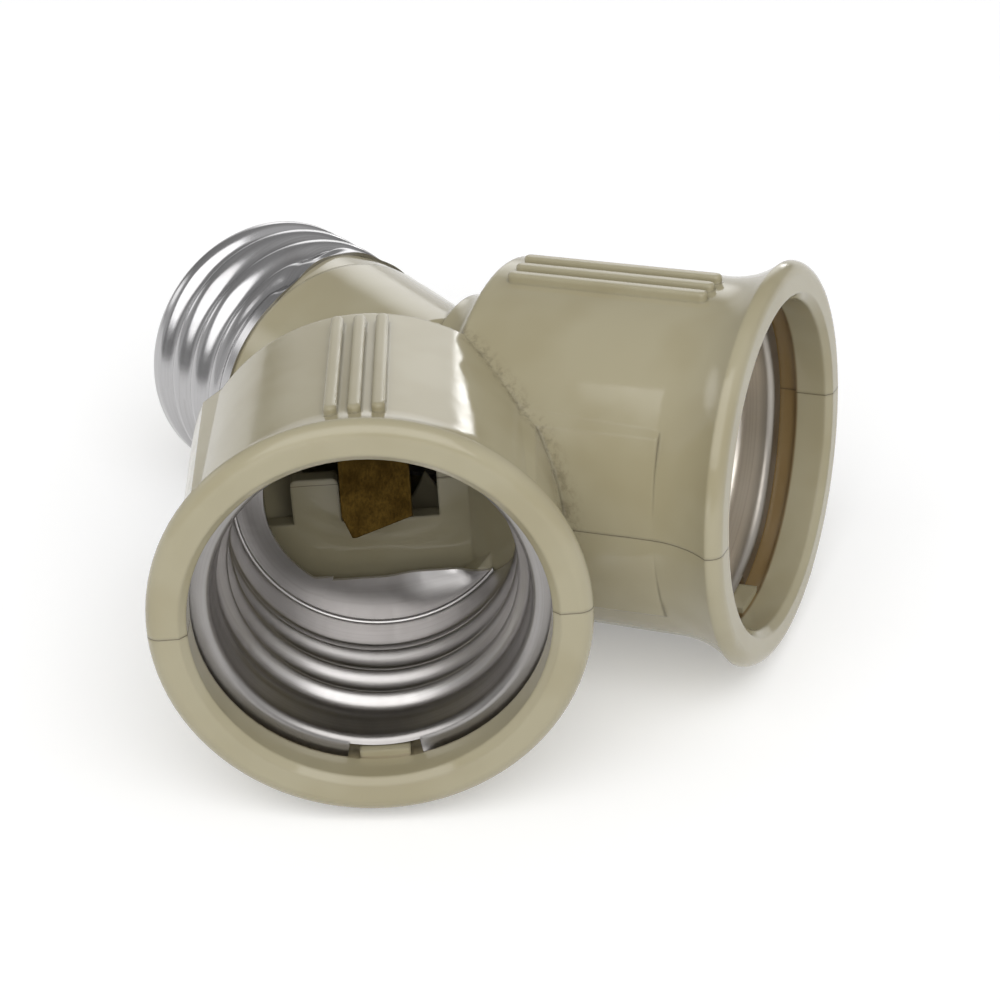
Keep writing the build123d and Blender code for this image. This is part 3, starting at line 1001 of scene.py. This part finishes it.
    def add_bend(self, shell: SheetMesh, reach: float, turns: np.ndarray) -> None:
        """Add the rings of the bend from the wall into the lip.

        Args:
            shell: The sheet under construction.
            reach: Radius of the bend on this face of the sheet.
            turns: Angles of the rings round the bend, in degrees.
        """
        buckle, edge = self.buckle(shell.angles), self.lip_edge(shell.angles)
        for turn in np.radians(turns):
            along = self.bend_start + (reach + buckle) * math.cos(turn)
            shell.ring(along, np.minimum(self.bend_radius + reach * math.sin(turn), edge))

    def add_floor(self, shell: SheetMesh) -> None:
        """Add the rings of the plain band's inside, of both faces of the floor and of the band's outside.

        Args:
            shell: The sheet under construction.
        """
        dish = self.floor_dish(shell.angles)
        floor_edge = self.floor_edge(shell.angles)
        edge = floor_edge + self.floor_margin
        back, outside = self.floor - self.sheet, self.band_radius + self.sheet
        for ahead, beyond in self.band_rows:
            shell.ring(self.band_end + ahead, self.band_radius + beyond)
        band_front, band_back = self.band_end - self.band_plain[0], self.floor + self.band_plain[1]
        for along in np.linspace(band_front, band_back, self.band_rings):
            shell.ring(along, self.band_radius)
        for ahead, inside in self.corner_rows:
            shell.ring(self.floor + ahead, np.maximum(self.band_radius - inside, edge))
        start = np.maximum(self.band_radius - self.floor_inset, floor_edge + self.floor_margin / 2)
        for share in np.linspace(0, 1, self.floor_rings):
            shell.ring(self.floor - dish * share**self.dish_power, start + (floor_edge - start) * share)
        shell.ring(back - dish, floor_edge)
        shell.ring(back, np.maximum(self.band_radius - self.floor_ledge, edge))
        shell.ring(self.floor - self.back_round, outside - self.back_ease)
        shell.ring(self.floor + self.back_round, outside)
        shell.ring(self.band_end, outside)

    def build(self, material: bpy.types.Material) -> None:
        """Build the shell and cut it where the two sockets would meet.

        Args:
            material: The shell's finish.
        """
        angles = self.angles()
        shell = SheetMesh(self.line, angles)
        edge, tab = self.lip_edge(angles), self.tab(angles)
        middle = 0.5 * (edge + self.bend_radius) + self.lip_middle
        lip_front = self.lip_front - self.lip_setback + 0.5 * self.buckle(angles)
        wall_end = self.bend_start - self.bend_gap
        shell.ring(lip_front + tab, edge)
        shell.ring(lip_front + self.tab_root * tab, np.minimum(edge, middle))
        self.add_bend(shell, self.lip_bend + self.sheet, np.linspace(0, -90, self.bend_rings))
        for along in np.linspace(wall_end, self.wall_start, self.rings):
            shell.ring(along, self.wall(along, angles))
        self.add_floor(shell)
        for along in np.linspace(self.wall_start, wall_end, self.rings // 2):
            shell.ring(along, self.wall(along, angles) + self.sheet)
        self.add_bend(shell, self.lip_bend, np.linspace(-90, 0, self.bend_back_rings))
        shell.ring(lip_front - self.sheet + tab, edge)
        piece = shell.build(f"{self.bay.node}_thread")
        self.trim(piece.data)
        finish_piece(piece, Slot.SOCKET, material, self.bay.node)

    def trim(self, mesh: bpy.types.Mesh) -> None:
        """Cut the shell off beside the partition and close the cut.

        Args:
            mesh: The shell's mesh.
        """
        away = Vector((1.0, 0.0, 0.0)) * self.bay.inward
        work = bmesh.new()
        work.from_mesh(mesh)
        cut = bmesh.ops.bisect_plane(
            work,
            geom=work.verts[:] + work.edges[:] + work.faces[:],
            plane_co=self.line.origin - away * self.trim_gap * MM,
            plane_no=away,
            clear_outer=True,
        )
        edges = [item for item in cut["geom_cut"] if isinstance(item, bmesh.types.BMEdge)]
        bmesh.ops.holes_fill(work, edges=edges, sides=0)
        work.to_mesh(mesh)
        work.free()


def dress_node(name: str, material: bpy.types.Material) -> None:
    """Give a CAD node a finished material in place of its plain one.

    Args:
        name: Name of the node.
        material: The material it takes.
    """
    for slot in frame["nodes"][name].material_slots:
        slot.material = material
    log.info("%s keeps its solid and takes %s", name, material.name)


@dataclass
class Housing:
    """The two moulded halves, which keep their CAD solids and take the finish."""

    finish: CreamPlastic

    def dress(self) -> bpy.types.Material:
        """Give both halves one material.

        Returns:
            The material, for the bit of neck that is a piece of its own.
        """
        material = self.finish.material("cream_plastic")
        for name in ("upper_housing", "lower_housing"):
            dress_node(name, material)
        return material


@dataclass
class Contacts:
    """The brass plate with its tongues, the tip, the strap and the insulator."""

    insulator: CreamPlastic
    # The brass is painted near black: painted shade for the tongues, which lie deep in the sockets.
    brass: StampedMetal = StampedMetal((0.070, 0.042, 0.009), (0.040, 0.023, 0.005), 0.42)
    tip: StampedMetal = StampedMetal((0.62, 0.50, 0.26), (0.40, 0.31, 0.15), 0.3)
    steel: StampedMetal = StampedMetal((0.55, 0.55, 0.55), (0.38, 0.37, 0.36), 0.35)

    def dress(self) -> None:
        """Give each node its finish."""
        dress_node("contact_plate", self.brass.material("brass_in_painted_shade"))
        dress_node("tip_contact", self.tip.material("tip_metal"))
        dress_node("neutral_strap", self.steel.material("strip_steel"))
        dress_node("end_insulator", self.insulator.material("satin_plastic"))


@dataclass(frozen=True)
class Aim:
    """A direction from the object, in degrees round it (0 in front, 90 towards +X) and above the floor."""

    turn: float
    rise: float

    def heading(self) -> Vector:
        """The direction as a unit vector."""
        turn, rise = math.radians(self.turn), math.radians(self.rise)
        return Vector((math.sin(turn) * math.cos(rise), -math.cos(turn) * math.cos(rise), math.sin(rise)))


@dataclass(frozen=True)
class SoftWindow(Aim):
    """A soft patch of light in the room, full within its core and gone at its reach, in degrees."""

    core: float
    reach: float
    strength: float

    def fade(self) -> Span:
        """Cosines of the angles at which the light begins and is full."""
        return math.cos(math.radians(self.reach)), math.cos(math.radians(self.core))


@dataclass(frozen=True)
class SoftLamp(Aim):
    """A rectangular lamp that faces the object, with its distance and size in metres."""

    name: str
    distance: float
    size: Span
    watts: float

    def hang(self, target: Vector) -> None:
        """Hang the lamp.

        Args:
            target: The point that it faces.
        """
        away = self.heading()
        data = bpy.data.lights.new(self.name, "AREA")
        data.shape = "RECTANGLE"
        data.size, data.size_y = self.size
        data.energy = self.watts
        lamp = bpy.data.objects.new(self.name, data)
        lamp.location = target + away * self.distance
        lamp.rotation_mode = "QUATERNION"
        lamp.rotation_quaternion = away.to_track_quat("Z", "Y")
        bpy.context.scene.collection.objects.link(lamp)


@dataclass
class Studio:
    """Floor, light and camera, with the camera's eye in millimetres on the parting plane's axes."""

    layout: Layout
    lens: float = 92.666
    sensor: float = 36.0
    sight: Span = (0.01, 20.0)
    eye: tuple[float, float, float] = (-108.70, -192.09, 104.95)
    back: tuple[float, float, float] = (-0.4738, -0.7494, 0.4625)
    above: tuple[float, float, float] = (0.3069, 0.3518, 0.8844)
    floor_size: float = 3.0
    floor_paint: Colour = (0.86, 0.86, 0.86)
    floor_glow: float = 0.25
    room_rise: Span = (0.0, 0.8)
    room_levels: Span = (0.25, 0.36)
    lit_height: float = 0.015
    windows: tuple[SoftWindow, ...] = (
        SoftWindow(turn=138, rise=12, core=4, reach=21, strength=1.8),
        SoftWindow(turn=158, rise=6, core=3, reach=14, strength=0.8),
        SoftWindow(turn=-154, rise=16, core=2, reach=11, strength=1.6),
        SoftWindow(turn=-125, rise=2, core=12, reach=45, strength=0.36),
        SoftWindow(turn=-48, rise=3, core=4, reach=14, strength=1.7),
        SoftWindow(turn=40, rise=12, core=15, reach=75, strength=0.36),
    )
    lamps: tuple[SoftLamp, ...] = (
        SoftLamp(name="front", turn=-38, rise=51, distance=1.4, size=(1.8, 1.4), watts=17.0),
        SoftLamp(name="right_pane", turn=125, rise=7.5, distance=0.95, size=(0.09, 0.10), watts=0.16),
    )

    def camera(self) -> None:
        """Set the camera at the photograph's viewpoint."""
        back = self.layout.flat(self.back).normalized()
        right = self.layout.flat(self.above).cross(back).normalized()
        turn = Matrix((right, back.cross(right), back)).transposed()
        data = bpy.data.cameras.new("viewpoint")
        data.lens = self.lens
        data.sensor_width = self.sensor
        data.clip_start, data.clip_end = self.sight
        camera = bpy.data.objects.new("viewpoint", data)
        camera.matrix_world = turn.to_4x4()
        camera.location = self.layout.screw.origin + self.layout.flat(self.eye) * MM
        bpy.context.scene.collection.objects.link(camera)
        bpy.context.scene.camera = camera

    def floor(self) -> None:
        """Lay a plain white floor that shows the object's shadow."""
        half = self.floor_size / 2
        corners = [(-half, -half, 0), (half, -half, 0), (half, half, 0), (-half, half, 0)]
        mesh = bpy.data.meshes.new("floor")
        mesh.from_pydata(corners, [], [(0, 1, 2, 3)])
        floor = bpy.data.objects.new("floor", mesh)
        bpy.context.scene.collection.objects.link(floor)
        material = bpy.data.materials.new("studio_floor")
        shader = Shader(material)
        rays = shader.node("ShaderNodeLightPath").outputs
        seen = shader.math("MAXIMUM", rays["Is Camera Ray"], rays["Is Glossy Ray"])
        seen = shader.math("MAXIMUM", seen, rays["Is Transmission Ray"])
        paint = shader.node("ShaderNodeBsdfDiffuse", {"Color": rgba(self.floor_paint)})
        strength = shader.product(seen, self.floor_glow)
        glow = shader.node("ShaderNodeEmission", {"Color": WHITE, "Strength": strength})
        both = shader.node("ShaderNodeAddShader", {0: paint.outputs[0], 1: glow.outputs[0]})
        shader.surface(both.outputs[0])
        mesh.materials.append(material)

    def light(self) -> None:
        """Set the plain room light with its soft windows, and hang the lamps."""
        world = bpy.data.worlds.new("studio")
        bpy.context.scene.world = world
        shader = Shader(world)
        direction = shader.node("ShaderNodeTexCoord").outputs["Generated"]
        rise = shader.node("ShaderNodeSeparateXYZ", {0: direction}).outputs["Z"]
        level = shader.span(rise, self.room_rise, *self.room_levels)
        for window in self.windows:
            near = shader.vector("DOT_PRODUCT", direction, window.heading())
            level = shader.math("ADD", level, shader.span(near, window.fade(), 0.0, window.strength))
        room = shader.node("ShaderNodeBackground", {"Color": WHITE, "Strength": level})
        shader.node("ShaderNodeOutputWorld", {"Surface": room.outputs[0]})
        for lamp in self.lamps:
            lamp.hang(Vector((0, 0, self.lit_height)))

    def build(self) -> None:
        """Build the stage."""
        bpy.context.scene.view_settings.view_transform = "Standard"
        self.camera()
        self.floor()
        self.light()


def main() -> None:
    """Build every piece in order."""
    logging.basicConfig(level=logging.INFO, format="%(name)s: %(message)s")
    layout = Layout.from_record(frame["record"])
    cream = Housing(CreamPlastic(layout)).dress()
    screw = ScrewBase(layout.screw)
    screw.build(DrawnAluminium().material("screw_sheet"))
    screw.build_pad(cream)
    inner = DrawnAluminium((0.53, 0.515, 0.507), (0.38, 0.358, 0.348), roughness=0.31, lip_shade_share=0.5)
    left = SocketShell(Bay.LEFT, layout.left)
    left.build(inner.material("socket_sheet"))
    # The right socket's sheet is painted lighter and warmer than the left's: painted light inside its mouth.
    lit_sheet = DrawnAluminium((0.80, 0.745, 0.665), (0.58, 0.52, 0.45), roughness=0.40, lip_shade_share=0.6)
    right = SocketShell(Bay.RIGHT, layout.right, lip_setback=1.05, lip_buckle=0.2)
    right.build(lit_sheet.material("lit_socket_sheet"))
    Contacts(insulator=CreamPlastic(layout, roughness=0.38, seam_share=0.0)).dress()
    Studio(layout).build()


if __name__ == "__main__":
    main()
